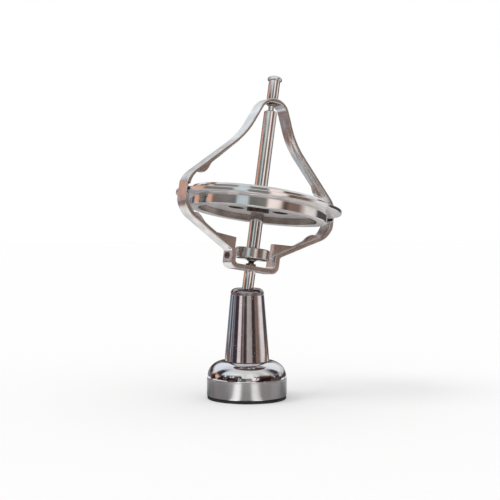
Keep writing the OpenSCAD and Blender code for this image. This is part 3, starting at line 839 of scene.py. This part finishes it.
turned("starter_wheel_turned",
       [(SHAFT_R, WHEEL_LOW), (6.6, WHEEL_LOW, 0.15), (WHEEL_R, 13.6, 0.15), (WHEEL_R, 17.2, 0.15),
        (6.6, WHEEL_TOP, 0.15), (SHAFT_R, WHEEL_TOP)],
       144, "rotor", ["starter_wheel"], "wheel_steel", wheel_steel)

turned("lower_collar_coned",
       [(PIVOT_R, 12.35), (1.5, 12.35, 0.05), (2.4, WHEEL_LOW), (PIVOT_R, WHEEL_LOW)],
       72, "rotor", ["lower_collar"], "collar_dark", collar_dark)


# ---- Floor, light and camera ----

FLOOR_HALF_WIDTH = 3

# Cards are (turn, colour) places; see Shading.bearing for the turn.
FOOT_CARDS = [
    (0.000, (0.06, 0.05, 0.055)), (0.050, (0.05, 0.045, 0.055)), (0.062, (0.60, 0.66, 0.74)),
    (0.076, (0.07, 0.07, 0.10)), (0.100, (0.34, 0.40, 0.48)), (0.118, (0.05, 0.05, 0.07)),
    (0.165, (0.55, 0.60, 0.68)), (0.185, (0.07, 0.06, 0.08)), (0.212, (0.09, 0.08, 0.10)),
    (0.228, (0.50, 0.56, 0.64)), (0.245, (0.06, 0.05, 0.07)), (0.268, (0.26, 0.28, 0.33)),
    (0.285, (0.055, 0.036, 0.043)), (0.345, (0.055, 0.036, 0.041)), (0.360, (0.92, 0.82, 0.83)),
    (0.400, (0.86, 0.77, 0.78)), (0.412, (0.06, 0.04, 0.04)), (0.440, (0.30, 0.23, 0.23)),
    (0.455, (0.05, 0.035, 0.034)), (0.490, (0.08, 0.055, 0.05)), (0.502, (0.50, 0.46, 0.45)),
    (0.570, (0.40, 0.37, 0.36)), (0.583, (0.05, 0.035, 0.034)), (0.625, (0.06, 0.04, 0.038)),
    (0.645, (0.24, 0.165, 0.138)), (0.690, (0.23, 0.157, 0.130)), (0.735, (0.86, 0.82, 0.81)),
    (0.795, (0.84, 0.81, 0.80)), (0.815, (0.09, 0.075, 0.08)), (0.925, (0.08, 0.07, 0.08)),
    (0.938, (0.50, 0.52, 0.55)), (1.000, (0.06, 0.05, 0.055))]
LOW_CARDS = [
    (0.000, (0.30, 0.28, 0.27)), (0.040, (0.06, 0.045, 0.04)), (0.130, (0.05, 0.04, 0.035)),
    (0.138, (0.90, 0.47, 0.31)), (0.177, (0.80, 0.42, 0.29)), (0.182, (0.06, 0.045, 0.04)),
    (0.189, (0.10, 0.06, 0.05)), (0.195, (0.86, 0.50, 0.37)), (0.262, (0.80, 0.46, 0.34)),
    (0.275, (0.18, 0.14, 0.12)), (0.340, (0.13, 0.115, 0.10)), (0.395, (0.08, 0.075, 0.07)),
    (0.405, (0.55, 0.66, 0.71)), (0.450, (0.60, 0.72, 0.76)), (0.462, (0.17, 0.17, 0.155)),
    (0.535, (0.22, 0.22, 0.20)), (0.550, (1.20, 1.04, 1.00)), (0.600, (1.15, 1.00, 0.96)),
    (0.618, (0.23, 0.145, 0.115)), (0.700, (0.17, 0.11, 0.088)), (0.718, (0.44, 0.42, 0.41)),
    (0.850, (0.62, 0.61, 0.60)), (0.930, (0.75, 0.74, 0.72)), (1.000, (0.30, 0.28, 0.27))]
HIGH_CARDS = [
    (0.000, (0.92, 0.97, 1.00)), (0.170, (0.80, 0.88, 0.95)), (0.200, (0.05, 0.05, 0.06)),
    (0.250, (0.04, 0.04, 0.05)), (0.270, (0.75, 0.82, 0.88)), (0.400, (0.95, 0.98, 1.00)),
    (0.470, (0.80, 0.78, 0.76)), (0.540, (0.95, 0.94, 0.92)), (0.640, (0.60, 0.56, 0.53)),
    (0.700, (0.85, 0.83, 0.80)), (0.780, (0.06, 0.055, 0.06)), (0.820, (0.05, 0.05, 0.06)),
    (0.845, (0.85, 0.88, 0.90)), (1.000, (0.92, 0.97, 1.00))]
FLOOR_CARDS = [
    (0.000, (0.90, 0.90, 0.90)), (0.120, (0.50, 0.50, 0.52)), (0.190, (0.10, 0.10, 0.11)),
    (0.240, (0.16, 0.16, 0.165)), (0.330, (0.30, 0.29, 0.295)), (0.415, (0.36, 0.35, 0.355)),
    (0.425, (2.30, 2.26, 2.26)), (0.458, (2.20, 2.16, 2.16)), (0.470, (0.42, 0.41, 0.41)),
    (0.522, (0.38, 0.37, 0.37)), (0.534, (1.90, 1.87, 1.87)), (0.566, (1.80, 1.77, 1.77)),
    (0.580, (0.40, 0.39, 0.395)), (0.690, (0.30, 0.29, 0.295)), (0.790, (0.10, 0.10, 0.105)),
    (0.880, (0.50, 0.50, 0.52)), (1.000, (0.90, 0.90, 0.90))]
BEHIND = [(0.000, (1, 1, 1)), (0.105, (1, 1, 1)), (0.125, (0, 0, 0)), (0.875, (0, 0, 0)),
          (0.895, (1, 1, 1)), (1.000, (1, 1, 1))]
WHITE = (1, 1, 1, 1)

sheet = bmesh.new()
bmesh.ops.create_grid(sheet, x_segments=1, y_segments=1, size=FLOOR_HALF_WIDTH)
floor = loose(mesh_of(sheet, "floor", closed=False))
paper = Finish("Paper floor", (0.93, 0.93, 0.93), 0, 0.9)
paper.sets(Specular_IOR_Level=0, Emission_Color=WHITE, Emission_Strength=0.105)
paper.tint(paper.noise(paper.own_place(False), 0.02), (0.925, 0.925, 0.925), (0.935, 0.935, 0.935))
floor.data.materials.append(paper.material)


def cards_on_floor():
    """The floor as polished metal sees it: grey cards, white paper and a dark room past it."""
    turns, x, y, _ = paper.bearing(paper.own_place(False))
    far = paper.distance(x, y)
    distant = paper.card_ring(turns, FOOT_CARDS)
    behind = paper.math("MULTIPLY", paper.card_ring(turns, BEHIND),
                        paper.spread(far, 0, 1, 140, 160))
    shade = paper.card_ring(turns, FLOOR_CARDS)
    for amount, colour in ((paper.spread(far, 0, 1, 70, 84), (0.95, 0.95, 0.95, 1)),
                           (paper.spread(far, 0, 1, 255, 285), (0.25, 0.14, 0.105, 1)),
                           (paper.spread(far, 0, 1, 650, 700), distant),
                           (behind, distant)):
        shade = paper.blend(amount, shade, colour)
    glow = paper.node("ShaderNodeEmission", Color=shade).outputs["Emission"]
    surface = paper.seen_by("Is Glossy Ray", glow, paper.shader.outputs["BSDF"])
    paper.join(surface, paper.nodes["Material Output"].inputs["Surface"])


def studio_world():
    """White to the camera, even for diffuse light, and a room of cards for the metal."""
    world = bpy.data.worlds.new("Studio")
    bpy.context.scene.world = world
    world.use_nodes = True
    world.node_tree.nodes.clear()
    room = Shading(world.node_tree)
    turns, _, _, z = room.bearing(room.node("ShaderNodeTexCoord").outputs["Generated"])
    colour = room.card_ring(turns, FOOT_CARDS)
    for low, high, above in ((0.11, 0.16, room.card_ring(turns, LOW_CARDS)),
                             (0.28, 0.42, room.card_ring(turns, HIGH_CARDS)),
                             (0.70, 0.92, (0.70, 0.72, 0.75, 1))):
        colour = room.blend(room.spread(z, 0, 1, low, high), colour, above)
    diffuse, cards, white = [
        room.node("ShaderNodeBackground", Color=shade, Strength=strength).outputs["Background"]
        for shade, strength in ((WHITE, 0.83), (colour, 1.0), (WHITE, 1.0))]
    seen = room.seen_by("Is Glossy Ray", cards, diffuse)
    room.node("ShaderNodeOutputWorld", Surface=room.seen_by("Is Camera Ray", white, seen))


def soft_lamp(name, way, strength, spread):
    """A sun that shines from a way, spread over an angle in degrees and unseen by reflections."""
    light = bpy.data.lights.new(name, "SUN")
    light.energy = strength
    light.angle = math.radians(spread)
    lamp = bpy.data.objects.new(name, light)
    lamp.rotation_euler = Vector(way).to_track_quat("Z", "Y").to_euler()
    lamp.visible_glossy = False
    bpy.context.scene.collection.objects.link(lamp)


def photograph_camera():
    """Camera of the photograph in the shared frame, with its angles in radians."""
    pitch, yaw, roll = 0.02641, 0.00237, 0.00472
    away, height = 0.42465, 0.07057
    sensor_width, focal_pixels, photograph_width = 36, 1061.839, 500
    spin = Matrix.Rotation(CAMERA_HEADING, 3, "Z")
    ahead = Vector((math.sin(yaw) * math.cos(pitch), math.cos(yaw) * math.cos(pitch),
                    -math.sin(pitch)))
    right = Vector((math.cos(yaw), -math.sin(yaw), 0))
    up = right.cross(ahead)
    right, up = (math.cos(roll) * right + math.sin(roll) * up,
                 -math.sin(roll) * right + math.cos(roll) * up)
    turn = Matrix((spin @ right, spin @ up, spin @ -ahead)).transposed()
    lens = bpy.data.cameras.new("photograph_camera")
    lens.sensor_width = sensor_width
    lens.lens = sensor_width * focal_pixels / photograph_width
    lens.clip_start = 0.01
    camera = bpy.data.objects.new("photograph_camera", lens)
    camera.matrix_world = Matrix.Translation(spin @ Vector((0, -away, height))) @ turn.to_4x4()
    bpy.context.scene.collection.objects.link(camera)
    bpy.context.scene.camera = camera


cards_on_floor()
studio_world()
soft_lamp("key_lamp", (-0.62, 0.10, 0.75), 0.5, 24)
photograph_camera()
bpy.context.scene.view_settings.view_transform = "Standard"
